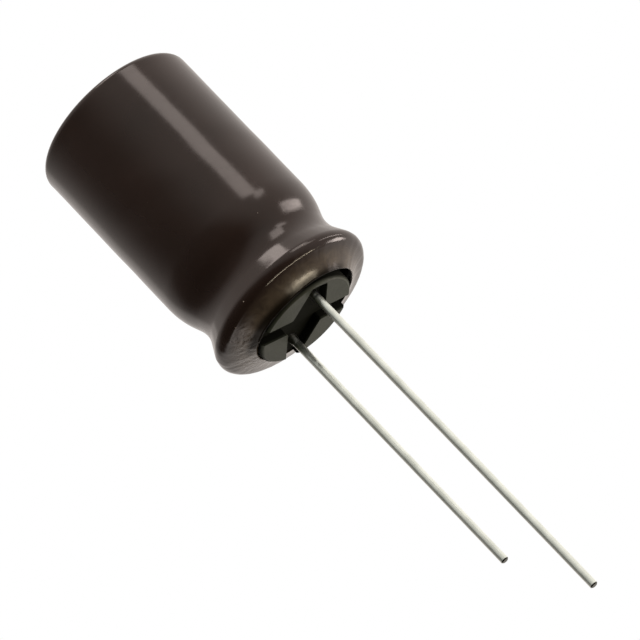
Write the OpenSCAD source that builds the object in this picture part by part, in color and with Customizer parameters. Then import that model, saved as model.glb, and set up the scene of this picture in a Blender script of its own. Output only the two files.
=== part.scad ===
// Radial aluminium electrolytic capacitor with a shrunk-on sleeve and two straight wires.
// Millimetres, +Z up. It stands on its closed end: the origin is the centre of that end, on
// the surface below it, and both wires point up, side by side along X.
// The can, the sleeve outside it and the seal inside it follow one outline of tangent arcs,
// each at its own distance from the can's outer face.

/* [Can] */
// Outside diameter of the can's straight wall
can_d = 12.5; // [12:0.1:14]
// Wall thickness of the can
can_wall = 0.3; // [0.2:0.05:0.4]
// Thickness of the closed end
can_end = 0.45; // [0.35:0.05:0.8]
// Outside radius between the closed end and the wall
can_corner_r = 0.3; // [0.2:0.05:1]
// Inside radius between the closed end and the wall
can_inner_corner_r = 0.25; // [0.1:0.05:0.4]
// Height of the straight wall above the can's closed end
straight_h = 13.4; // [10:0.1:30]

/* [Vent] */
// Length of each score line of the vent
vent_len = 8; // [4:0.5:9]
// Width of a score line at the surface
vent_w = 0.4; // [0.2:0.05:0.6]
// Depth of a score line
vent_depth = 0.2; // [0.1:0.05:0.3]

/* [Bead and lip] */
// Radius of the shoulder where the wall turns in to the bead
shoulder_r = 6; // [3:0.5:8]
// Height from the start of the shoulder to the bead's narrowest place
shoulder_to_bead = 3.5; // [2.5:0.1:5]
// How deep the bead is rolled into the can's wall
bead_depth = 0.7; // [0.4:0.05:1]
// Radius of the bead's hollow, on the can's outer face
bead_r = 2.65; // [1.5:0.05:3.2]
// Height from the bead's narrowest place to the centre of the curled lip
bead_to_curl = 2.4; // [1.9:0.1:3.5]
// How far the curled lip stands out past the can's wall
lip_out = 0.125; // [0:0.025:0.4]
// Outside radius of the curled lip
curl_r = 0.55; // [0.45:0.05:0.8]
// How far the can's edge curls over, from pointing outwards to biting into the seal
curl_turn = 205; // [190:5:220]

/* [Sleeve] */
// Thickness of the shrunk sleeve
sleeve_wall = 0.18; // [0.1:0.02:0.3]
// Gap left between the sleeve and the can
sleeve_gap = 0.02; // [0.01:0.01:0.05]
// How far the sleeve laps over the closed end, measured in from the can's wall
end_lap = 1.35; // [0.8:0.05:1.8]
// Where the sleeve leaves the curled lip: its free skirt rises inwards at 90 less this angle
skirt_turn = 66; // [62:1:80]
// Gap between the skirt's free edge and the seal's boss
skirt_gap = 0.25; // [0.2:0.05:0.8]

/* [Seal] */
// Height from the seal's underside to the bead's narrowest place
seal_below_bead = 2.2; // [1.5:0.1:3]
// Chamfer round the seal's underside
seal_chamfer = 0.4; // [0.2:0.05:0.8]
// Gap between the seal and the can's inner face
seal_gap = 0.02; // [0.01:0.01:0.05]
// Diameter of the boss that stands up inside the lip
boss_d = 8.1; // [7.6:0.1:8.5]
// Height of the pads' tops above the centre of the curled lip
pad_rise = 1.9; // [1.5:0.1:3]
// Depth of the channels between the pads
channel_depth = 0.7; // [0.3:0.05:0.8]
// Width of the channel that crosses between the wires
cross_channel_w = 1.4; // [1:0.1:1.8]
// Width of the wires' channel at the centre of the seal
wire_channel_w = 3.1; // [2.6:0.1:3.6]
// Width of the wires' channel at the rim of the boss
wire_channel_rim_w = 1.2; // [1:0.1:2]
// Thickness of the rim that closes the wires' channel beyond the long wire
rim_t = 0.4; // [0.3:0.05:0.6]
// Radius on the upright corners of the pads
pad_corner_r = 0.2; // [0.1:0.05:0.4]
// Chamfer round the pads' tops at the rim of the boss
pad_chamfer = 0.2; // [0.05:0.01:0.25]

/* [Wires] */
// Distance between the wires
pitch = 5; // [4.5:0.1:5.5]
// Diameter of a wire
wire_d = 0.6; // [0.5:0.05:0.8]
// Length of the long wire above the pads
long_wire = 29.4; // [15:0.1:40]
// Length of the short wire above the pads
short_wire = 22.3; // [10:0.1:35]
// Small bevel left on a wire's cut end
wire_bevel = 0.08; // [0.03:0.01:0.12]

/* [Terminals] */
// Diameter of a terminal's round shank
shank_d = 1.5; // [1.2:0.1:1.8]
// Gap between a terminal and its hole in the seal
shank_gap = 0.02; // [0.01:0.01:0.04]
// Height of a shank's top above the bead's narrowest place
shank_above_bead = 2.4; // [1:0.1:2.6]
// How far the weld is wider than the wire, all round, where it ends level with the channel
weld_rim = 0.1; // [0.05:0.01:0.15]
// Length of round shank left below the seal
shank_below_seal = 0.3; // [0.1:0.05:0.5]
// Height of flat tab between the winding and the taper of the shank
tab_above_winding = 0.15; // [0.05:0.05:0.4]
// Thickness of the flattened tab
tab_t = 0.3; // [0.2:0.05:0.4]
// Width of the flattened tab
tab_w = 2.2; // [1.8:0.1:2.6]
// Depth that the tab reaches into the winding
tab_depth = 9; // [5:0.5:9.5]
// Gap between a tab and the turns on each side of it
tab_gap = 0.02; // [0.01:0.01:0.04]

/* [Winding] */
// Room between the winding and the closed end
foot_room = 0.25; // [0.1:0.05:0.6]
// Room between the winding and the seal
head_room = 1.6; // [1.4:0.1:2.5]
// Room between the winding's tape and the can
side_room = 0.3; // [0.2:0.05:0.6]
// Diameter of the hole left by the winding's mandrel
core_d = 2.2; // [1.4:0.1:2.8]
// Distance between the turn lines that show on the winding's ends
turn_pitch = 0.55; // [0.4:0.05:0.8]
// Width of a turn line
turn_line_w = 0.14; // [0.08:0.02:0.2]
// Depth of a turn line
turn_line_depth = 0.15; // [0.05:0.05:0.3]

/* [Tape] */
// Thickness of the tape that holds the winding shut
tape_t = 0.08; // [0.05:0.01:0.12]
// Gap between the tape and the winding
tape_gap = 0.01; // [0.005:0.005:0.02]
// Height of the tape
tape_h = 9; // [5:0.5:9]
// How far the tape's end laps over its start
tape_lap = 50; // [20:5:90]

/* [Hidden] */
$fn = 72;
// Largest turn of one straight step along an arc, in degrees
arc_step = 8;
// Overrun of a cutting shape past the face it cuts
over = 0.5;

// Heights of the can's closed end, its floor, and the centres of the outline's arcs
can_z = sleeve_wall + sleeve_gap;
floor_z = can_z + can_end;
shoulder_z = can_z + straight_h;
bead_z = shoulder_z + shoulder_to_bead;
curl_z = bead_z + bead_to_curl;

// Radii from the axis: the can's inner face, the bead's narrowest place, the centre of the
// curled lip, the sleeve's edge on the closed end and its edge round the boss
can_inner_r = can_d/2 - can_wall;
neck_r = can_d/2 - bead_depth;
curl_x = can_d/2 + lip_out - curl_r;
window_r = can_d/2 - end_lap;
opening_r = boss_d/2 + skirt_gap;

// The shoulder and the bead's hollow are fillets, each limited by the wall between them and
// by the wall up to the lip: these are the largest radii that have room there
shoulder_room = (bead_depth*bead_depth + shoulder_to_bead*shoulder_to_bead)/(2*bead_depth);
curl_step = curl_x - neck_r;
lip_room = (curl_step*curl_step + bead_to_curl*bead_to_curl - curl_r*curl_r)
    /(2*(curl_step + curl_r));
hollow_r = min(bead_r, lip_room, shoulder_room/2);
turn_in_r = min(shoulder_r, shoulder_room - hollow_r);

// Centres of the arcs, as [radius, height]
corner_c = [can_d/2 - can_corner_r, can_z + can_corner_r];
shoulder_c = [can_d/2 - turn_in_r, shoulder_z];
bead_c = [neck_r + hollow_r, bead_z];
curl_c = [curl_x, curl_z];

// Slopes at which the outline falls into the bead and rises out of it again
fall = cross_tangent(shoulder_c, bead_c, turn_in_r + hollow_r);
rise = cross_tangent(bead_c, curl_c, -hollow_r - curl_r);

// Heights of the seal, the terminals and the winding
seal_z = bead_z - seal_below_bead;
pad_z = curl_z + pad_rise;
channel_z = pad_z - channel_depth;
shank_top_z = bead_z + shank_above_bead;
weld_h = channel_z - shank_top_z;
weld_d = wire_d + 2*weld_rim;
shank_end_z = seal_z - shank_below_seal;
roll_z = floor_z + foot_room;
roll_top_z = seal_z - head_room;
roll_h = roll_top_z - roll_z;
tab_z = roll_top_z - tab_depth;
tab_top_z = roll_top_z + tab_above_winding;
roll_r = can_inner_r - side_room - 2*tape_t - tape_gap;
tape_r = roll_r + tape_gap;

// A unit vector at an angle, and the angle of a vector
function unit(a) = [cos(a), sin(a)];
function bearing(v) = atan2(v.y, v.x);

// Points along an arc, in steps no larger than arc_step
function arc(c, r, from, to) =
    let (n = ceil(abs(to - from)/arc_step))
    [for (i = [0:n]) c + r*unit(from + (to - from)*i/n)];

// Direction of the normal on the line that touches two circles on opposite sides.
// reach is the sum of the radii, negative where the outline crosses from hollow to round.
function cross_tangent(a, b, reach) =
    let (ratio = reach/max(norm(b - a), abs(reach)))
    bearing(b - a) - acos(ratio);

function reverse(list) = [for (i = [len(list) - 1:-1:0]) list[i]];

// The outline from the shoulder round the lip, t outside the can's outer face
function wall_line(t, turn) = concat(
    arc(shoulder_c, turn_in_r + t, 0, fall),
    arc(bead_c, hollow_r - t, 180 + fall, 180 + rise),
    arc(curl_c, curl_r + t, rise, turn));

// The corner of the closed end, t outside the can's outer face
function corner_line(t) = arc(corner_c, can_corner_r + t, -90, 0);

// A corner b between the points a and c, rounded to radius r
function round_corner(a, b, c, r) =
    let (u = (a - b)/norm(a - b),
         v = (c - b)/norm(c - b),
         half = acos(u*v)/2,
         m = b + (u + v)/norm(u + v)*r/sin(half),
         from = bearing(b + u*r/tan(half) - m),
         swing = (bearing(b + v*r/tan(half) - m) - from + 540) % 360 - 180)
    arc(m, r, from, from + swing);

// Shrunk plastic sleeve: it laps under the closed end, follows the can over the bead and
// the lip, and ends in a free skirt that rises inwards round the seal
module sleeve() {
    skin = sleeve_gap + sleeve_wall;
    lean = unit(skirt_turn + 90);
    leave = curl_c + (curl_r + skin)*unit(skirt_turn);
    skirt = lean*(leave.x - opening_r)/sin(skirt_turn);
    under = curl_c + (curl_r + sleeve_gap)*unit(skirt_turn);
    outer = concat([[window_r, 0]], corner_line(skin), wall_line(skin, skirt_turn),
        [leave + skirt]);
    inner = concat([[window_r, sleeve_wall]], corner_line(sleeve_gap),
        wall_line(sleeve_gap, skirt_turn), [under + skirt]);
    color("#3b2f2a")
        rotate_extrude()
            polygon(concat(outer, reverse(inner)));
}

// V-shaped score lines across the closed end, which let it burst safely
module vent() {
    for (a = [45, 135])
        rotate([0, 0, a])
            translate([0, 0, can_z])
                rotate([90, 0, 0])
                    linear_extrude(vent_len, center = true)
                        polygon([[-vent_w/2, -over], [vent_w/2, -over], [vent_w/2, 0],
                            [0, vent_depth], [-vent_w/2, 0]]);
}

// Drawn aluminium can, beaded round the seal and curled over its edge
module can() {
    inner_corner = [can_inner_r - can_inner_corner_r, floor_z + can_inner_corner_r];
    outer = concat([[0, can_z]], corner_line(0), wall_line(0, curl_turn));
    inner = concat([[0, floor_z]], arc(inner_corner, can_inner_corner_r, -90, 0),
        wall_line(-can_wall, curl_turn));
    color("silver")
        difference() {
            rotate_extrude()
                polygon(concat(outer, reverse(inner)));
            vent();
        }
}

// The rubber as the can squeezes it: waisted by the bead, gripped by the curled edge, and
// free again in the boss inside the lip, which is bevelled round its top
module seal_body() {
    r = boss_d/2;
    inset = can_wall + seal_gap;
    rim_r = can_d/2 - inset;
    bite = unit(curl_turn);
    clear = seal_gap*unit(curl_turn + 90);
    bitten = curl_c + (curl_r + seal_gap)*bite + clear;
    side = concat(wall_line(-inset, curl_turn), [curl_c + (curl_r - inset)*bite + clear, bitten]);
    intersection() {
        rotate_extrude()
            polygon(concat([[0, floor_z], [rim_r, floor_z]], side,
                [[r, bitten.y], [r, pad_z - pad_chamfer], [r - pad_chamfer, pad_z], [0, pad_z]]));
        translate([0, 0, seal_z])
            cylinder(r1 = rim_r - seal_chamfer, r2 = rim_r - seal_chamfer + can_d, h = can_d);
    }
}

// Plan of one of the four pads, in the quarter where X and Y are positive: a rounded inner
// corner, and two sides that run out past the rim of the boss
module pad_plan() {
    far = boss_d/2 + over;
    inner = [cross_channel_w/2, wire_channel_w/2];
    low = boss_d/2*unit(asin(wire_channel_rim_w/boss_d));
    low_end = low + over*(low - inner)/norm(low - inner);
    high_end = [inner.x, far];
    polygon(concat(round_corner(high_end, inner, low, pad_corner_r),
        [low_end, [far, far], high_end]));
}

// Plan of the rim that closes the wires' channel beyond the long wire
module rim_plan() {
    intersection() {
        difference() {
            circle(d = boss_d + 2*over);
            circle(d = boss_d - 2*rim_t);
        }
        translate([pitch/2, -wire_channel_w/2])
            square([boss_d/2, wire_channel_w]);
    }
}

// What is cut from the boss to leave four pads and the rim standing
module channels() {
    difference() {
        translate([0, 0, channel_z])
            cylinder(d = boss_d + over, h = channel_depth + over);
        translate([0, 0, channel_z - over])
            linear_extrude(channel_depth + 3*over)
                rim_plan();
        for (x = [0, 1], y = [0, 1])
            mirror([x, 0, 0])
                mirror([0, y, 0])
                    translate([0, 0, channel_z - over])
                        linear_extrude(channel_depth + 3*over)
                            pad_plan();
    }
}

// Hole for a terminal: round for its shank, then tapered for its weld
module terminal_hole() {
    translate([0, 0, seal_z - over])
        cylinder(d = shank_d + 2*shank_gap, h = shank_top_z - seal_z + over);
    translate([0, 0, shank_top_z])
        cylinder(d1 = shank_d + 2*shank_gap, d2 = weld_d + 2*shank_gap, h = weld_h);
    translate([0, 0, channel_z])
        cylinder(d = weld_d + 2*shank_gap, h = channel_depth + over);
}

// Moulded rubber seal with a hole for each terminal
module seal() {
    color("#55584c")
        difference() {
            seal_body();
            channels();
            for (side = [-1, 1])
                translate([side*pitch/2, 0, 0])
                    terminal_hole();
        }
}

// A tinned wire from its weld, level with the floor of the channel, to its cut end. The tin
// that ran down from the weld thickens its root, as far as the pads' tops.
module wire(side, length) {
    r = wire_d/2;
    translate([side*pitch/2, 0, 0])
        rotate_extrude()
            polygon([[0, channel_z], [weld_d/2, channel_z], [r, pad_z],
                [r, pad_z + length - wire_bevel],
                [r - wire_bevel, pad_z + length], [0, pad_z + length]]);
}

module anode_wire() {
    color("gainsboro")
        wire(1, long_wire);
}

module cathode_wire() {
    color("gainsboro")
        wire(-1, short_wire);
}

// One side of a terminal seen along its tab's face, as far as the shank, which it leaves whole
function pressed_side(side) = [
    [side*tab_t/2, tab_z - over],
    [side*tab_t/2, tab_top_z],
    [side*shank_d/2, shank_end_z],
    [side*shank_d, shank_end_z],
    [side*shank_d, channel_z + over]];

// A terminal: aluminium wire, round through the seal, pressed flat where it is stitched to
// the foil, and butt-welded to the tinned wire
module terminal(side) {
    translate([side*pitch/2, 0, 0])
        intersection() {
            rotate_extrude()
                polygon([[0, tab_z], [tab_w/2, tab_z], [tab_w/2, tab_top_z],
                    [shank_d/2, shank_end_z], [shank_d/2, shank_top_z], [weld_d/2, channel_z],
                    [0, channel_z]]);
            rotate([90, 0, 0])
                linear_extrude(tab_w + over, center = true)
                    polygon(concat(pressed_side(1), reverse(pressed_side(-1))));
        }
}

module anode_terminal() {
    color("lightsteelblue")
        terminal(1);
}

module cathode_terminal() {
    color("lightsteelblue")
        terminal(-1);
}

// Shallow rings on one end of the winding, where the edges of its turns show
module turn_lines(z) {
    count = floor((roll_r - core_d/2)/turn_pitch - 0.5);
    for (i = [1:count]) {
        r = core_d/2 + i*turn_pitch;
        translate([0, 0, z - turn_line_depth])
            difference() {
                cylinder(r = r + turn_line_w/2, h = 2*turn_line_depth);
                translate([0, 0, -over])
                    cylinder(r = r - turn_line_w/2, h = 2*turn_line_depth + 2*over);
            }
    }
}

// Foils and papers wound together: one solid, with a slot where each tab lies in its turns
module winding() {
    color("wheat")
        difference() {
            translate([0, 0, roll_z])
                cylinder(r = roll_r, h = roll_h);
            translate([0, 0, roll_z - over])
                cylinder(d = core_d, h = roll_h + 2*over);
            turn_lines(roll_z);
            turn_lines(roll_top_z);
            for (side = [-1, 1])
                translate([side*pitch/2 - tab_t/2 - tab_gap, -tab_w/2 - tab_gap, tab_z - tab_gap])
                    cube([tab_t + 2*tab_gap, tab_w + 2*tab_gap, tab_depth + over]);
        }
}

// Tape once round the winding, with its end lapped over its start. The lapped layer is drawn
// from the middle of the layer below it, so that the two are one piece.
module winding_tape() {
    mid_z = roll_z + roll_h/2;
    color("khaki")
        translate([0, 0, mid_z - tape_h/2]) {
            rotate_extrude()
                translate([tape_r, 0])
                    square([tape_t, tape_h]);
            rotate_extrude(angle = tape_lap)
                translate([tape_r + tape_t/2, 0])
                    square([tape_t/2 + tape_t, tape_h]);
        }
}

sleeve();
can();
seal();
anode_wire();
cathode_wire();
anode_terminal();
cathode_terminal();
winding();
winding_tape();
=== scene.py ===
"""A radial electrolytic capacitor, standing on its closed end with its wires up."""

import math

import bmesh
import bpy
import numpy as np
from mathutils import Matrix, Vector


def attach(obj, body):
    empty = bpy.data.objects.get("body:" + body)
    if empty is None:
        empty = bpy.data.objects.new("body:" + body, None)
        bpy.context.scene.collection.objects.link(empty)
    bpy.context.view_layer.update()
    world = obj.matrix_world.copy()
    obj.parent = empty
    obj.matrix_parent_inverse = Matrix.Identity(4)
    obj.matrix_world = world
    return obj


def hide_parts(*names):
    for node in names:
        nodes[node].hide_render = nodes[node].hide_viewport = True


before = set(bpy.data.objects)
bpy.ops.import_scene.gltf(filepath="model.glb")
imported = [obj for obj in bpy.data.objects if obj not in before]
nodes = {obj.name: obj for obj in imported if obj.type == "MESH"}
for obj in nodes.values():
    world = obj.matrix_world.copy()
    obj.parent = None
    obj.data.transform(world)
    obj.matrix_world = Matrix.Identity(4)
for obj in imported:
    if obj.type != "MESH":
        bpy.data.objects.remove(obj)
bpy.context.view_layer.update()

MM = 0.001

# The sleeved can, in millimetres
FILM = 0.18            # thickness of the shrunk film
FILM_GAP = 0.02        # gap between film and can
CAN_R = 6.25           # outer radius of the can's wall
CORNER_R = 0.3         # outer radius at the can's closed end
WINDOW_R = 4.9         # radius that the film leaves bare on the closed end
SHOULDER_Z = 13.6      # where the wall starts to turn in
SHOULDER_R = 6.0
BEAD_Z = 17.1          # the neck's narrowest place
BEAD_NECK_R = 5.55
BEAD_R = 2.65
CURL_X = 5.825         # centre of the curled lip
CURL_Z = 19.5
CURL_R = 0.55
SKIRT_TURN = 66.0      # where the film leaves the curl
OPENING_R = 4.3        # radius inside the film's free skirt
SKIRT_POINTS = 14      # points along the skirt
SLEEVE_COLUMNS = 420   # points round the sleeve

# The seal and the wires, in millimetres
PAD_RIM_R = 3.85       # outer rim of the pads
PAD_ROUNDING = 0.34    # how far in that rim is rounded
EDGE_ROUNDING = 0.05   # how far in every other edge is
RIM_HALF_W = 1.3       # half the width of the thin rim beyond the long wire, rounded like the edges
LONG_TIP_Z = 50.8      # cut end of the long wire
SHORT_TIP_Z = 43.7     # cut end of the short wire

# Specks of dust on the film: radius and height of the place in millimetres, its turn and the film's
# slope there in degrees, and the speck's half width in millimetres
SPECKS = [
    (6.55, 19.46, 9, -3, 0.05),
    (6.53, 19.69, 60, 14, 0.055),
    (6.18, 20.12, 79, 60, 0.045),
    (6.17, 15.37, 14, 17, 0.03),
    (6.42, 9.2, 61, 0, 0.03),
]

# Camera and light

AIM = Vector((-0.0030, -0.0034, 0.0202))   # the point on the photo's optical axis beside the part
CAMERA_TURN = 40.0                         # degrees from +X, round +Z
CAMERA_RISE = 22.63
CAMERA_ROLL = 136.12
CAMERA_DISTANCE = 0.4554
LENS = 364.6
LAMP_AIM = Vector((0, 0, 0.012))           # the lamps face this point
LAMP_DISTANCE = 0.5


def toward(turn, rise):
    """The unit vector at that many degrees round +Z from +X, and above the horizon."""
    a, e = math.radians(turn), math.radians(rise)
    return Vector((math.cos(e) * math.cos(a), math.cos(e) * math.sin(a), math.sin(e)))


def placed(origin, right, up, back):
    """The matrix that puts an object at origin, with its x, y and z axes along the three given."""
    return Matrix.Translation(origin) @ Matrix((right, up, back)).transposed().to_4x4()


def add_camera():
    """The photograph's view: a long lens, rolled so that the wires point down to the right."""
    data = bpy.data.cameras.new("camera")
    data.lens = LENS
    data.sensor_width = 36
    data.clip_start = 0.05
    data.clip_end = 20
    camera = bpy.data.objects.new("camera", data)
    back = toward(CAMERA_TURN, CAMERA_RISE)
    level = Vector((0, 0, 1)).cross(back).normalized()
    upright = back.cross(level)
    roll = math.radians(CAMERA_ROLL)
    right = math.cos(roll) * level + math.sin(roll) * upright
    camera.matrix_world = placed(AIM + CAMERA_DISTANCE * back, right, back.cross(right), back)
    bpy.context.scene.collection.objects.link(camera)
    bpy.context.scene.camera = camera


def add_softbox(name, turn, rise, width, height, radiance, tint, pieces, shape="RECTANGLE", spin=0):
    """A softbox that faces the part and lights only the pieces given; width and height in degrees as
    the part sees it. spin turns the box about its own middle, in degrees."""
    data = bpy.data.lights.new(name, "AREA")
    data.shape = shape
    data.color = tint
    data.size = 2 * LAMP_DISTANCE * math.tan(math.radians(width / 2))
    data.size_y = 2 * LAMP_DISTANCE * math.tan(math.radians(height / 2))
    data.energy = radiance * math.pi * data.size * data.size_y
    light = bpy.data.objects.new(name, data)
    back = toward(turn, rise)
    level = Vector((-math.sin(math.radians(turn)), math.cos(math.radians(turn)), 0))
    level = Matrix.Rotation(math.radians(spin), 3, back) @ level
    light.matrix_world = placed(LAMP_AIM + LAMP_DISTANCE * back, level, back.cross(level), back)
    bpy.context.scene.collection.objects.link(light)
    lit = bpy.data.collections.new(name + "_lit")
    for piece in pieces:
        lit.objects.link(piece)
    light.light_linking.receiver_collection = lit


def add_lamps(body, wires):
    """Warm lamps for the glossy film, each placed where the photo's highlight mirrors it, and three
    neutral cards for the wires, which the lamps would burn out."""
    warm = (1.0, 0.87, 0.81)
    gold = (1.0, 0.86, 0.64)
    cool = (0.97, 1.0, 0.96)
    add_softbox("strip", -18.6, -28.5, 19, 23, 2.9, warm, body, spin=-8)
    add_softbox("strip_foot", -28, -14, 18, 7, 2.2, warm, body, "ELLIPSE", spin=20)
    add_softbox("side_box", -60, 3, 40, 3.2, 5.6, warm, body, "ELLIPSE", spin=14)
    add_softbox("under_box", -10, -68, 24, 15, 3.3, warm, body, "ELLIPSE")
    add_softbox("lip_box", -79, 28, 20, 22, 6.5, warm, body, "ELLIPSE")
    add_softbox("top_strip", -38, 71.6, 42, 3, 17.0, gold, body, spin=50)
    add_softbox("back_box", -165, 52, 30, 18, 0.6, warm, body, "ELLIPSE")
    add_softbox("card_right", -70, -15, 100, 50, 0.5, cool, wires)
    add_softbox("card_front", 25, -15, 100, 50, 0.5, cool, wires)
    add_softbox("card_left", 110, -18, 70, 50, 0.14, cool, wires)


# Materials. A pattern's scale is 1000 over the size in millimetres of what it draws

def linear(code):
    """An sRGB hex colour as linear RGBA."""
    channels = [int(code[i:i + 2], 16) / 255 for i in (1, 3, 5)]
    return [c / 12.92 if c <= 0.04045 else ((c + 0.055) / 1.055) ** 2.4 for c in channels] + [1.0]


def add(tree, kind, props=None, inputs=None):
    """Adds a node; props are its own settings, and inputs, by name or number, are values or the
    sockets that they are linked to."""
    node = tree.nodes.new(kind)
    for key, value in (props or {}).items():
        setattr(node, key, value)
    for key, value in (inputs or {}).items():
        if isinstance(value, bpy.types.NodeSocket):
            tree.links.new(value, node.inputs[key])
        else:
            node.inputs[key].default_value = value
    return node


def new_material(name):
    """A material with an empty tree, and its output node."""
    material = bpy.data.materials.new(name)
    material.use_nodes = True
    material.node_tree.nodes.clear()
    return material, material.node_tree, add(material.node_tree, "ShaderNodeOutputMaterial")


def side_of(tree, place, turn, start, end):
    """A mask that rises from 0 to 1 between two distances from the axis, in millimetres, measured
    towards one side: the place's dot product with the level unit vector at that turn."""
    reach = add(tree, "ShaderNodeVectorMath", {"operation": "DOT_PRODUCT"}, {0: place, 1: toward(turn, 0)})
    mask = add(tree, "ShaderNodeMapRange", {"interpolation_type": "SMOOTHSTEP"},
               {"Value": reach.outputs["Value"], "From Min": start * MM, "From Max": end * MM})
    return mask.outputs["Result"]


def painted_edge_shade(tree, place):
    """A mask for the painted shade on the film's free edge, on the side that stands up against the seal,
    where it is painted nearly black: the product of masks for a small radius, that side, and the height."""
    flat = add(tree, "ShaderNodeVectorMath", {"operation": "MULTIPLY"}, {0: place, 1: (1, 1, 0)})
    radius = add(tree, "ShaderNodeVectorMath", {"operation": "LENGTH"}, {0: flat.outputs["Vector"]})
    inside = add(tree, "ShaderNodeMapRange", {"interpolation_type": "SMOOTHSTEP"},
                 {"Value": radius.outputs["Value"], "From Min": 4.6 * MM, "From Max": 5.1 * MM,
                  "To Min": 1.0, "To Max": 0.0})
    both = add(tree, "ShaderNodeMath", {"operation": "MULTIPLY"},
               {0: inside.outputs["Result"], 1: side_of(tree, place, CAMERA_TURN, 0.8, 2.4)})
    height = add(tree, "ShaderNodeSeparateXYZ", inputs={"Vector": place}).outputs["Z"]
    above = add(tree, "ShaderNodeMath", {"operation": "GREATER_THAN"}, {0: height, 1: 20 * MM})
    mask = add(tree, "ShaderNodeMath", {"operation": "MULTIPLY"},
               {0: both.outputs["Value"], 1: above.outputs["Value"]})
    return mask.outputs["Value"]


def shrink_film():
    """Heat-shrunk polyester film, dyed dark brown: a hard even gloss over a deep warm colour, with the
    faint ripple that shrinking leaves. From 20 mm up, over the lip and its skirt, it is paler and
    streaked, and crinkled on one side. Its free edge towards the seal carries painted shade, nearly
    black, and hardly shines."""
    material, tree, output = new_material("heat_shrink_film")
    place = add(tree, "ShaderNodeTexCoord").outputs["Object"]
    tone = add(tree, "ShaderNodeTexNoise", inputs={"Vector": place, "Scale": 1000 / 5.0, "Detail": 3.0})
    deep = add(tree, "ShaderNodeMix", {"data_type": "RGBA"},
               {"Factor": tone.outputs["Fac"], "A": linear("#201711"), "B": linear("#33251f")})
    height = add(tree, "ShaderNodeSeparateXYZ", inputs={"Vector": place}).outputs["Z"]
    # Paler and streaked from 20 mm up, over the top of the lip and its skirt
    thin = add(tree, "ShaderNodeMapRange", {"interpolation_type": "SMOOTHSTEP"},
               {"Value": height, "From Min": 20.0 * MM, "From Max": 20.7 * MM, "To Max": 0.9})
    streak = add(tree, "ShaderNodeTexNoise",
                 inputs={"Vector": place, "Scale": 1000 / 0.9, "Detail": 4.0, "Distortion": 1.2})
    pale_streaks = add(tree, "ShaderNodeMix", {"data_type": "RGBA"},
               {"Factor": streak.outputs["Fac"], "A": linear("#2b221b"), "B": linear("#6d604f")})
    colour = add(tree, "ShaderNodeMix", {"data_type": "RGBA"},
                 {"Factor": thin.outputs["Result"], "A": deep.outputs["Result"], "B": pale_streaks.outputs["Result"]})
    # Painted shade: the film's free edge towards the seal is darkened nearly black
    edge = painted_edge_shade(tree, place)
    colour = add(tree, "ShaderNodeMix", {"data_type": "RGBA"},
                 {"Factor": edge, "A": colour.outputs["Result"], "B": linear("#1c1710")})
    level = add(tree, "ShaderNodeMapRange", inputs={"Value": edge, "To Min": 0.5, "To Max": 0.1})
    grain = add(tree, "ShaderNodeTexNoise", inputs={"Vector": place, "Scale": 1000 / 0.5, "Detail": 4.0})
    gloss = add(tree, "ShaderNodeMapRange",
                inputs={"Value": grain.outputs["Fac"], "To Min": 0.10, "To Max": 0.22})
    ripple = add(tree, "ShaderNodeTexNoise", inputs={"Vector": place, "Scale": 1000 / 2.2, "Detail": 1.0})
    bump = add(tree, "ShaderNodeBump", inputs={"Height": ripple.outputs["Fac"], "Distance": 0.006 * MM})
    bump = add(tree, "ShaderNodeBump",
               inputs={"Height": grain.outputs["Fac"], "Distance": 0.0006 * MM,
                       "Normal": bump.outputs["Normal"]})
    crinkle = add(tree, "ShaderNodeTexNoise", inputs={"Vector": place, "Scale": 1000 / 0.4, "Detail": 3.0})
    amount = add(tree, "ShaderNodeMath", {"operation": "MULTIPLY"},
                 {0: thin.outputs["Result"], 1: side_of(tree, place, 128, 2.9, 4.8)})
    bump = add(tree, "ShaderNodeBump",
               inputs={"Height": crinkle.outputs["Fac"], "Strength": amount.outputs["Value"],
                       "Distance": 0.11 * MM, "Normal": bump.outputs["Normal"]})
    shader = add(tree, "ShaderNodeBsdfPrincipled",
                 inputs={"Base Color": colour.outputs["Result"], "Roughness": gloss.outputs["Result"],
                         "Specular IOR Level": level.outputs["Result"],
                         "IOR": 1.5, "Normal": bump.outputs["Normal"]})
    tree.links.new(shader.outputs["BSDF"], output.inputs["Surface"])
    return material


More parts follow.
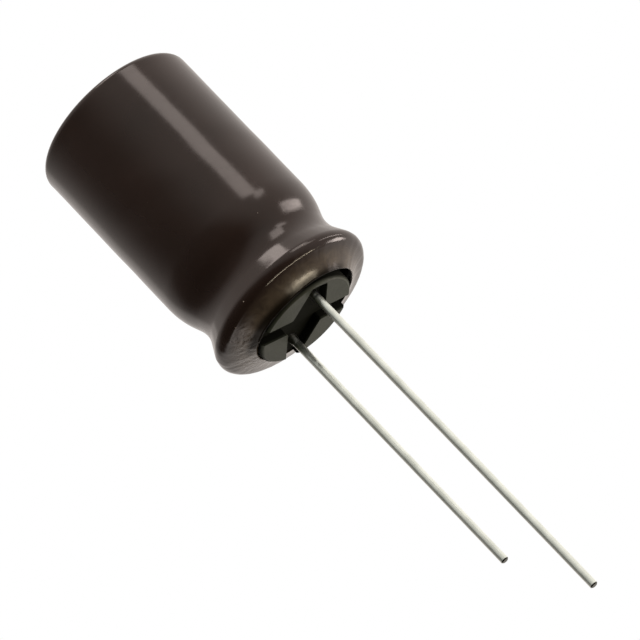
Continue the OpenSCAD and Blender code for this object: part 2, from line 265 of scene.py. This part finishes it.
def moulded_rubber():
    """Compression-moulded butyl rubber: dark grey-green and matt, with the grain of a spark-eroded mould,
    coarser than the real one, so that it shows. The channels between the pads are duller, and painted
    nearly black as shade."""
    material, tree, output = new_material("moulded_butyl_rubber")
    place = add(tree, "ShaderNodeTexCoord").outputs["Object"]
    tone = add(tree, "ShaderNodeTexNoise", inputs={"Vector": place, "Scale": 1000 / 1.5, "Detail": 4.0})
    colour = add(tree, "ShaderNodeMix", {"data_type": "RGBA"},
                 {"Factor": tone.outputs["Fac"], "A": linear("#2b3021"), "B": linear("#3a4030")})
    grain = add(tree, "ShaderNodeTexNoise", inputs={"Vector": place, "Scale": 1000 / 0.15, "Detail": 3.0})
    height = add(tree, "ShaderNodeSeparateXYZ", inputs={"Vector": place}).outputs["Z"]
    # Painted shade: below the pads' tops the channels take a nearly black colour
    raised = add(tree, "ShaderNodeMapRange",
                 inputs={"Value": height, "From Min": 21.2 * MM, "From Max": 21.36 * MM}).outputs["Result"]
    shade = add(tree, "ShaderNodeMix", {"data_type": "RGBA"},
                {"Factor": raised, "A": linear("#12140c"), "B": colour.outputs["Result"]})
    gloss = add(tree, "ShaderNodeMapRange",
                inputs={"Value": grain.outputs["Fac"], "To Min": 0.42, "To Max": 0.6})
    dull = add(tree, "ShaderNodeMapRange",
               inputs={"Value": raised, "To Min": 0.9, "To Max": gloss.outputs["Result"]})
    level = add(tree, "ShaderNodeMapRange", inputs={"Value": raised, "To Min": 0.12, "To Max": 0.33})
    bump = add(tree, "ShaderNodeBump", inputs={"Height": grain.outputs["Fac"], "Distance": 0.006 * MM})
    shader = add(tree, "ShaderNodeBsdfPrincipled",
                 inputs={"Base Color": shade.outputs["Result"], "Roughness": dull.outputs["Result"],
                         "Specular IOR Level": level.outputs["Result"],
                         "IOR": 1.52, "Normal": bump.outputs["Normal"]})
    tree.links.new(shader.outputs["BSDF"], output.inputs["Surface"])
    return material


def tinned_wire(name, tip):
    """Tin-plated copper-clad steel wire, drawn: bright and slightly cloudy, with die lines along it that
    are coarser than real ones, so that they show. The sheared end, at height tip in millimetres, is bare
    and dark."""
    material, tree, output = new_material(name)
    place = add(tree, "ShaderNodeTexCoord").outputs["Object"]
    along = add(tree, "ShaderNodeMapping", inputs={"Vector": place, "Scale": (1.0, 1.0, 0.03)})
    lines = add(tree, "ShaderNodeTexNoise",
                inputs={"Vector": along.outputs["Vector"], "Scale": 1000 / 0.09, "Detail": 3.0})
    cloud = add(tree, "ShaderNodeTexNoise", inputs={"Vector": place, "Scale": 1000 / 1.4, "Detail": 4.0})
    colour = add(tree, "ShaderNodeMix", {"data_type": "RGBA"},
                 {"Factor": cloud.outputs["Fac"], "A": linear("#eaebe4"), "B": linear("#c0c2b8")})
    gloss = add(tree, "ShaderNodeMapRange",
                inputs={"Value": cloud.outputs["Fac"], "To Min": 0.22, "To Max": 0.38})
    bump = add(tree, "ShaderNodeBump", inputs={"Height": cloud.outputs["Fac"], "Distance": 0.05 * MM})
    bump = add(tree, "ShaderNodeBump",
               inputs={"Height": lines.outputs["Fac"], "Distance": 0.0018 * MM,
                       "Normal": bump.outputs["Normal"]})
    height = add(tree, "ShaderNodeSeparateXYZ", inputs={"Vector": place}).outputs["Z"]
    cut = add(tree, "ShaderNodeMapRange",
              inputs={"Value": height, "From Min": (tip - 0.09) * MM, "From Max": (tip - 0.07) * MM})
    colour = add(tree, "ShaderNodeMix", {"data_type": "RGBA"},
                 {"Factor": cut.outputs["Result"], "A": colour.outputs["Result"], "B": linear("#5c5d55")})
    shader = add(tree, "ShaderNodeBsdfPrincipled",
                 inputs={"Base Color": colour.outputs["Result"], "Metallic": 1.0,
                         "Roughness": gloss.outputs["Result"], "Normal": bump.outputs["Normal"]})
    tree.links.new(shader.outputs["BSDF"], output.inputs["Surface"])
    return material


def drawn_aluminium():
    """Deep-drawn aluminium: satin, with faint draw lines up the wall."""
    material, tree, output = new_material("drawn_aluminium")
    place = add(tree, "ShaderNodeTexCoord").outputs["Object"]
    along = add(tree, "ShaderNodeMapping", inputs={"Vector": place, "Scale": (1.0, 1.0, 0.05)})
    lines = add(tree, "ShaderNodeTexNoise",
                inputs={"Vector": along.outputs["Vector"], "Scale": 1000 / 0.2, "Detail": 4.0})
    colour = add(tree, "ShaderNodeMix", {"data_type": "RGBA"},
                 {"Factor": lines.outputs["Fac"], "A": linear("#d2d3d5"), "B": linear("#bfc0c2")})
    gloss = add(tree, "ShaderNodeMapRange",
                inputs={"Value": lines.outputs["Fac"], "To Min": 0.28, "To Max": 0.42})
    bump = add(tree, "ShaderNodeBump", inputs={"Height": lines.outputs["Fac"], "Distance": 0.004 * MM})
    shader = add(tree, "ShaderNodeBsdfPrincipled",
                 inputs={"Base Color": colour.outputs["Result"], "Metallic": 1.0,
                         "Roughness": gloss.outputs["Result"], "Normal": bump.outputs["Normal"]})
    tree.links.new(shader.outputs["BSDF"], output.inputs["Surface"])
    return material


def soaked_paper():
    """Kraft and manila separator paper wound with foil and soaked: buff, dull and damp."""
    material, tree, output = new_material("soaked_separator_paper")
    place = add(tree, "ShaderNodeTexCoord").outputs["Object"]
    fibre = add(tree, "ShaderNodeTexNoise", inputs={"Vector": place, "Scale": 1000 / 0.3, "Detail": 5.0})
    colour = add(tree, "ShaderNodeMix", {"data_type": "RGBA"},
                 {"Factor": fibre.outputs["Fac"], "A": linear("#c9b48a"), "B": linear("#b29c72")})
    bump = add(tree, "ShaderNodeBump", inputs={"Height": fibre.outputs["Fac"], "Distance": 0.01 * MM})
    shader = add(tree, "ShaderNodeBsdfPrincipled",
                 inputs={"Base Color": colour.outputs["Result"], "Roughness": 0.55,
                         "Normal": bump.outputs["Normal"]})
    tree.links.new(shader.outputs["BSDF"], output.inputs["Surface"])
    return material


def winding_film():
    """Polyester tape with a yellow cast: thin, smooth and slightly glossy."""
    material, tree, output = new_material("polyester_tape")
    place = add(tree, "ShaderNodeTexCoord").outputs["Object"]
    haze = add(tree, "ShaderNodeTexNoise", inputs={"Vector": place, "Scale": 1000 / 2.0, "Detail": 2.0})
    colour = add(tree, "ShaderNodeMix", {"data_type": "RGBA"},
                 {"Factor": haze.outputs["Fac"], "A": linear("#d9cc86"), "B": linear("#cbbb70")})
    bump = add(tree, "ShaderNodeBump", inputs={"Height": haze.outputs["Fac"], "Distance": 0.01 * MM})
    shader = add(tree, "ShaderNodeBsdfPrincipled",
                 inputs={"Base Color": colour.outputs["Result"], "Roughness": 0.3,
                         "Normal": bump.outputs["Normal"]})
    tree.links.new(shader.outputs["BSDF"], output.inputs["Surface"])
    return material


def pale_dust():
    """Lint and fine dust: tiny, chalky and slightly uneven."""
    material, tree, output = new_material("pale_dust")
    place = add(tree, "ShaderNodeTexCoord").outputs["Object"]
    crumb = add(tree, "ShaderNodeTexNoise", inputs={"Vector": place, "Scale": 1000 / 0.03, "Detail": 2.0})
    colour = add(tree, "ShaderNodeMix", {"data_type": "RGBA"},
                 {"Factor": crumb.outputs["Fac"], "A": linear("#cdbfae"), "B": linear("#a8978a")})
    bump = add(tree, "ShaderNodeBump", inputs={"Height": crumb.outputs["Fac"], "Distance": 0.004 * MM})
    shader = add(tree, "ShaderNodeBsdfPrincipled",
                 inputs={"Base Color": colour.outputs["Result"], "Roughness": 0.8,
                         "Normal": bump.outputs["Normal"]})
    tree.links.new(shader.outputs["BSDF"], output.inputs["Surface"])
    return material


# Surfaces

def arc(centre, radius, start, end, count):
    """Points (r, z) along an arc, degrees from +r towards +z: the centre plus the radius times the
    cosine and the sine of each angle."""
    a = np.radians(np.linspace(start, end, count))
    return np.stack([centre[0] + radius * np.cos(a), centre[1] + radius * np.sin(a)], axis=1)


def cross_tangent(a, b, reach):
    """Direction of the normal, in degrees, on the line that touches circles round a and b from opposite
    sides: the bearing of b from a, less the angle whose cosine is reach over their distance. reach is
    how far b lies from a along that normal: the sum of the radii, and negative where the film passes
    between a and the axis."""
    step = np.subtract(b, a)
    return math.degrees(math.atan2(step[1], step[0]) - math.acos(reach / math.hypot(*step)))


def film_line(t):
    """The film's line at distance t outside the can, from its edge under the closed end to its free
    edge round the seal: straight runs and arcs that meet on their common tangents. Returns the points
    (r, z), the unit normals out of the film, and the index of the first point of the free skirt."""
    corner = (CAN_R - CORNER_R, FILM + FILM_GAP + CORNER_R)
    shoulder = (CAN_R - SHOULDER_R, SHOULDER_Z)
    bead = (BEAD_NECK_R + BEAD_R, BEAD_Z)
    curl = (CURL_X, CURL_Z)
    fall = cross_tangent(shoulder, bead, SHOULDER_R + BEAD_R)
    rise = cross_tangent(bead, curl, -BEAD_R - CURL_R)
    leave = arc(curl, CURL_R + t, SKIRT_TURN, SKIRT_TURN, 1)[0]
    lean = math.radians(SKIRT_TURN + 90)
    slide = (leave[0] - OPENING_R) / math.sin(math.radians(SKIRT_TURN))
    edge = leave + slide * np.array([math.cos(lean), math.sin(lean)])
    low = corner[1] - CORNER_R - t
    # The last number of each run is how many points it has
    shoulder_arc = arc(shoulder, SHOULDER_R + t, 0, fall, 18)
    bead_arc = arc(bead, BEAD_R - t, 180 + fall, 180 + rise, 30)
    curl_arc = arc(curl, CURL_R + t, rise, SKIRT_TURN, 34)
    runs = [
        np.linspace((WINDOW_R, low), (corner[0], low), 8)[:-1],
        arc(corner, CORNER_R + t, -90, 0, 9),
        np.linspace((CAN_R + t, corner[1]), (CAN_R + t, SHOULDER_Z), 40)[1:-1],
        shoulder_arc,
        np.linspace(shoulder_arc[-1], bead_arc[0], 8)[1:-1],
        bead_arc,
        np.linspace(bead_arc[-1], curl_arc[0], 6)[1:-1],
        curl_arc,
        np.linspace(leave, edge, SKIRT_POINTS)[1:],
    ]
    line = np.concatenate(runs)
    step = np.gradient(line, axis=0)
    step /= np.linalg.norm(step, axis=1, keepdims=True)
    return line, np.stack([step[:, 1], -step[:, 0]], axis=1), len(line) - SKIRT_POINTS


def along_skirt(line, first):
    """How far each point of the line lies beyond the skirt's first point, and 0 before it."""
    return np.linalg.norm(line - line[first], axis=1) * (np.arange(len(line)) > first)


def bump_at(value, centre, width):
    """A smooth bump of height 1: e to the minus square of the distance from its centre in widths."""
    return np.exp(-((value - centre) / width) ** 2)


def wander(turn, seed, waves, low=2):
    """A smooth closed curve over the circle, within -1 and 1: seeded sine waves with low and more
    periods, each weaker by the root of its periods, added and divided by their largest sum."""
    rng = np.random.default_rng(seed)
    total = np.zeros_like(turn)
    for k in range(low, low + waves):
        total += rng.normal() * np.sin(k * turn + rng.uniform(0, 2 * np.pi)) / k ** 0.5
    return total / max(np.abs(total).max(), 1e-9)


def film_dent(z, turn):
    """How far the shrunk film lies inside its ideal face, in millimetres, at height z and turn. It adds
    long shallow waves, sines of turn and height, where it followed the can's own dents, a faint hollow
    where it bridges from the shoulder to the neck, and upright pleats at the neck and the lip, which
    shrank most: wandering curves over the turn, times how gathered each side is."""
    slow = 0.5 + 0.5 * np.sin(2 * turn + 0.21 * z) * np.sin(0.33 * z - turn + 0.9)
    dent = 0.012 * slow + 0.007 * (1 + np.sin(5 * turn + 0.9 * z + 1.3 * np.sin(0.7 * z)))
    pleats = 0.5 + 0.5 * wander(turn + 0.02 * np.sin(2.1 * z), 11, 26, 14)
    at = np.degrees(turn)
    gathered = 0.25 + bump_at(at, 118, 30) + 0.6 * bump_at(at, 205, 34) + 0.5 * bump_at(at, 300, 26)
    gathered += 0.9 * bump_at(at, 22, 18)
    dent += 0.016 * bump_at(z, 16.15, 0.5)
    dent += 0.035 * pleats * gathered * (bump_at(z, 18.6, 0.8) + 0.8 * bump_at(z, 20.3, 0.7))
    fine = 0.5 + 0.5 * wander(turn + 0.05 * np.sin(3.3 * z), 5, 40, 30)
    return dent + 0.012 * fine * gathered * bump_at(z, 20.2, 0.6)


def new_mesh(name, points, faces, material):
    """A smooth-shaded piece from an array of points and a list of faces."""
    mesh = bpy.data.meshes.new(name)
    mesh.from_pydata(points.tolist(), [], faces)
    mesh.shade_smooth()
    mesh.materials.append(material)
    piece = bpy.data.objects.new(name, mesh)
    bpy.context.scene.collection.objects.link(piece)
    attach(piece, "root")
    return piece


def revolve_grid(name, rows, material):
    """A closed surface of revolution: rows[i, j] = (r, z) in millimetres becomes the point (r times the
    cosine of turn j, r times its sine, z). The last row joins the first, and so do the columns."""
    count, columns = rows.shape[:2]
    turn = np.linspace(0, 2 * np.pi, columns, endpoint=False)
    r, z = rows[..., 0], rows[..., 1]
    points = np.stack([r * np.cos(turn), r * np.sin(turn), z], axis=-1).reshape(-1, 3) * MM
    i, j = np.meshgrid(np.arange(count), np.arange(columns), indexing="ij")
    up, on = (i + 1) % count, (j + 1) % columns
    faces = np.stack([i * columns + j, i * columns + on, up * columns + on, up * columns + j], axis=-1)
    return new_mesh(name, points, faces.reshape(-1, 4).tolist(), material)


def rounded(start, end, count=4):
    """Rows of points on the flattened half circle that bulges from one edge of the film to the other:
    the middle, plus the cosine times half the way across, plus 0.6 of the sine times that half turned
    outwards."""
    middle, half = (start + end) / 2, (start - end) / 2
    side = np.stack([-half[:, 1], half[:, 0]], axis=1) * -1
    a = np.linspace(0, np.pi, count + 2)[1:-1]
    return np.stack([middle + np.cos(t) * half + 0.6 * np.sin(t) * side for t in a])


def add_sleeve(material):
    """The shrunk sleeve: the film's outer and inner lines joined by rounded edges and carried round the
    axis. The outer face is dented along its normal, and the free skirt leans up on one side and has a
    wandering edge, as film does where nothing lies below it."""
    outer, normals, skirt = film_line(FILM_GAP + FILM)
    inner, _, inner_skirt = film_line(FILM_GAP)
    turn = np.linspace(0, 2 * np.pi, SLEEVE_COLUMNS, endpoint=False)
    slide = along_skirt(outer, skirt)
    inner_slide = along_skirt(inner, inner_skirt)
    tilt = 0.16 * np.cos(turn - math.radians(CAMERA_TURN)) + 0.02 * wander(turn, 3, 7)
    reach = 0.06 + 0.24 * np.cos(turn + np.pi / 4)
    reach += 0.03 * wander(turn, 8, 9)
    reach += 0.012 * wander(turn, 21, 30, 20)

    def carried(line, share):
        """The line at every turn. The skirt rises by share times the tilt, and moves out by the reach
        times the square of the part of its length."""
        rows = np.repeat(line[:, None, :], SLEEVE_COLUMNS, axis=1)
        rows[..., 1] += share[:, None] * tilt
        rows[..., 0] += (share[:, None] / share.max()) ** 2 * reach
        return rows

    face = carried(outer, slide)
    dent = film_dent(face[..., 1], turn[None, :])
    dent *= np.clip((face[..., 1] - 0.25) / 0.5, 0, 1)
    hollow = 0.015 * (1 - np.cos(2 * np.pi * slide / slide.max()))
    trough = np.outer(hollow, 0.8 + 0.4 * wander(turn, 31, 6))
    face -= normals[:, None, :] * (dent + trough)[..., None]
    # Every third row is enough for the inner face, which lies on the can
    keep = np.r_[0:len(inner):3, len(inner) - 1]
    back = carried(inner, inner_slide)[keep][::-1]
    rows = np.concatenate([face, rounded(face[-1], back[0]), back, rounded(back[-1], face[0])])
    piece = revolve_grid("shrunk_sleeve", rows, material)
    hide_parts("sleeve")
    return piece


def area_normals(mesh):
    """A normal for each vertex: the sum of its faces' normals times their areas, at unit length. It
    keeps large faces flat and lets the narrow ones between them turn."""
    faces = mesh.polygons
    normal = np.empty(3 * len(faces))
    area = np.empty(len(faces))
    corners = np.empty(len(faces), dtype=np.int32)
    vertex = np.empty(len(mesh.loops), dtype=np.int32)
    faces.foreach_get("normal", normal)
    faces.foreach_get("area", area)
    faces.foreach_get("loop_total", corners)
    mesh.loops.foreach_get("vertex_index", vertex)
    weighted = normal.reshape(-1, 3) * area[:, None]
    total = np.zeros((len(mesh.vertices), 3))
    np.add.at(total, vertex, np.repeat(weighted, corners, axis=0))
    return total / np.maximum(np.linalg.norm(total, axis=1, keepdims=True), 1e-30)


def soft_copy(node, name, material):
    """A copy of the moulded seal with its sharp edges rounded: the solid's triangles are merged, the
    pads' outer rim gets a wide bevel, and then every other sharp edge a narrow one."""
    mesh = node.data.copy()
    mesh.transform(node.matrix_world)
    work = bmesh.new()
    work.from_mesh(mesh)
    bmesh.ops.remove_doubles(work, verts=work.verts, dist=0.0005 * MM)
    bmesh.ops.dissolve_limit(work, angle_limit=math.radians(1), verts=work.verts, edges=work.edges)
    top = max(v.co.z for v in work.verts)

    def on_pad_rim(v):
        """Whether a vertex lies on a pad's outer rim, and not on the thin rim beyond the long wire."""
        level = abs(v.co.z - top) < 0.01 * MM
        outside = abs(v.co.xy.length - PAD_RIM_R * MM) < 0.02 * MM
        return level and outside and (v.co.x < 0 or abs(v.co.y) > RIM_HALF_W * MM)

    rim = [e for e in work.edges if all(on_pad_rim(v) for v in e.verts)]
    bmesh.ops.bevel(work, geom=rim, offset=PAD_ROUNDING * MM, segments=4, profile=0.5, affect="EDGES",
                    clamp_overlap=True)
    sharp = [e for e in work.edges if len(e.link_faces) == 2 and e.calc_face_angle(0) > math.radians(35)]
    bmesh.ops.bevel(work, geom=sharp, offset=EDGE_ROUNDING * MM, segments=2, profile=0.5, affect="EDGES",
                    clamp_overlap=True)
    bmesh.ops.triangulate(work, faces=[f for f in work.faces if len(f.verts) > 4])
    work.to_mesh(mesh)
    work.free()
    mesh.shade_smooth()
    mesh.normals_split_custom_set_from_vertices(area_normals(mesh))
    mesh.materials.clear()
    mesh.materials.append(material)
    piece = bpy.data.objects.new(name, mesh)
    bpy.context.scene.collection.objects.link(piece)
    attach(piece, "root")
    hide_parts(node.name)
    return piece


def add_dust(specks, material):
    """Specks of pale dust: flattened balls of 6 bands and 10 columns, seated in the film. A ball has
    poles at (0, 0, -0.4) and (0, 0, 0.4), and between them the points (sine of u times cosine of v, 0.7
    of sine of u times sine of v, -0.4 of cosine of u). Each speck is the ball times its size, carried
    to its place with its axes round the film, along the film and out of it."""
    bands, columns = 6, 10
    u, v = np.meshgrid(np.pi * np.arange(1, bands) / bands,
                       2 * np.pi * np.arange(columns) / columns, indexing="ij")
    belt = np.stack([np.sin(u) * np.cos(v), 0.7 * np.sin(u) * np.sin(v), -0.4 * np.cos(u)], axis=-1)
    ball = np.concatenate([[(0, 0, -0.4)], belt.reshape(-1, 3), [(0, 0, 0.4)]])
    j = np.arange(columns)
    k = (j + 1) % columns
    low = 1 + columns * np.arange(bands - 2)[:, None]
    last = len(ball) - 1
    foot = np.stack([0 * j, 1 + k, 1 + j], axis=-1)
    sides = np.stack([low + j, low + k, low + columns + k, low + columns + j], axis=-1).reshape(-1, 4)
    cap = np.stack([last - columns + j, last - columns + k, 0 * j + last], axis=-1)

    r, z, turn, slope, size = np.array(specks).T
    a, e = np.radians(turn), np.radians(slope)
    out = np.stack([np.cos(e) * np.cos(a), np.cos(e) * np.sin(a), np.sin(e)], axis=-1)
    side = np.stack([-np.sin(a), np.cos(a), 0 * a], axis=-1)
    axes = np.stack([side, np.cross(out, side), out], axis=1)
    base = np.stack([r * np.cos(a), r * np.sin(a), z], axis=-1)
    points = base[:, None, :] + size[:, None, None] * (ball @ axes)
    faces = []
    for first in range(0, len(specks) * len(ball), len(ball)):
        faces += (foot + first).tolist() + (sides + first).tolist() + (cap + first).tolist()
    return new_mesh("dust_specks", points.reshape(-1, 3) * MM, faces, material)


# Surroundings

def add_floor():
    """A plain white light table. Reflections and shadows leave it out."""
    mesh = bpy.data.meshes.new("floor")
    reach = 6.0   # half the table's width, in metres
    corners = [(-reach, -reach, 0), (reach, -reach, 0), (reach, reach, 0), (-reach, reach, 0)]
    mesh.from_pydata(corners, [], [(0, 1, 2, 3)])
    material, tree, output = new_material("white_light_table")
    glow = add(tree, "ShaderNodeEmission", inputs={"Color": (1, 1, 1, 1), "Strength": 1.0})
    tree.links.new(glow.outputs["Emission"], output.inputs["Surface"])
    mesh.materials.append(material)
    floor = bpy.data.objects.new("floor", mesh)
    bpy.context.scene.collection.objects.link(floor)
    floor.visible_glossy = False
    floor.visible_shadow = False


def add_world():
    """The room: darkest at turn 90 and rise 40, brighter with the angle from there, and with a bright
    soft-edged sheet at turn 228. Each direction takes the larger of the two."""
    world = bpy.data.worlds.new("room")
    world.use_nodes = True
    tree = world.node_tree
    tree.nodes.clear()
    direction = add(tree, "ShaderNodeTexCoord").outputs["Generated"]

    def facing(turn, rise):
        """How nearly a direction points that way: the dot product of the two unit vectors."""
        return add(tree, "ShaderNodeVectorMath", {"operation": "DOT_PRODUCT"},
                   {0: direction, 1: toward(turn, rise)}).outputs["Value"]

    away = add(tree, "ShaderNodeMapRange",
               inputs={"Value": facing(90, 40), "From Min": 1.0, "From Max": -1.0})
    soft = add(tree, "ShaderNodeValToRGB", inputs={"Fac": away.outputs["Result"]})
    soft.color_ramp.interpolation = "B_SPLINE"
    stops = ((0.29, 0.04), (0.355, 0.18), (0.436, 0.38), (0.545, 0.55), (0.72, 0.56), (0.86, 0.62))
    for stop, value in stops:
        soft.color_ramp.elements.new(stop).color = (value, value, value, 1)
    soft.color_ramp.elements[0].color = (0.02, 0.02, 0.02, 1)
    sheet = add(tree, "ShaderNodeMapRange", {"interpolation_type": "SMOOTHSTEP"},
                {"Value": facing(228, 0), "From Min": 0.3, "From Max": 0.6, "To Max": 0.86})
    level = add(tree, "ShaderNodeMath", {"operation": "MAXIMUM"},
                {0: soft.outputs["Color"], 1: sheet.outputs["Result"]})
    sky = add(tree, "ShaderNodeBackground",
              inputs={"Color": (1.0, 0.93, 0.88, 1.0), "Strength": level.outputs["Value"]})
    add(tree, "ShaderNodeOutputWorld", inputs={"Surface": sky.outputs["Background"]})
    bpy.context.scene.world = world


def set_material(node, material):
    """Gives a CAD node one material."""
    node.data.materials.clear()
    node.data.materials.append(material)


add_camera()
add_world()
add_floor()

film = shrink_film()
rubber = moulded_rubber()
metal = drawn_aluminium()
set_material(nodes["sleeve"], film)
set_material(nodes["can"], metal)
set_material(nodes["seal"], rubber)
set_material(nodes["anode_wire"], tinned_wire("tinned_long_wire", LONG_TIP_Z))
set_material(nodes["cathode_wire"], tinned_wire("tinned_short_wire", SHORT_TIP_Z))
set_material(nodes["anode_terminal"], metal)
set_material(nodes["cathode_terminal"], metal)
set_material(nodes["winding"], soaked_paper())
set_material(nodes["winding_tape"], winding_film())

sleeve = add_sleeve(film)
seal = soft_copy(nodes["seal"], "moulded_seal", rubber)
dust = add_dust(SPECKS, pale_dust())
add_lamps((sleeve, seal, dust), (nodes["anode_wire"], nodes["cathode_wire"]))

bpy.context.scene.view_settings.view_transform = "Standard"
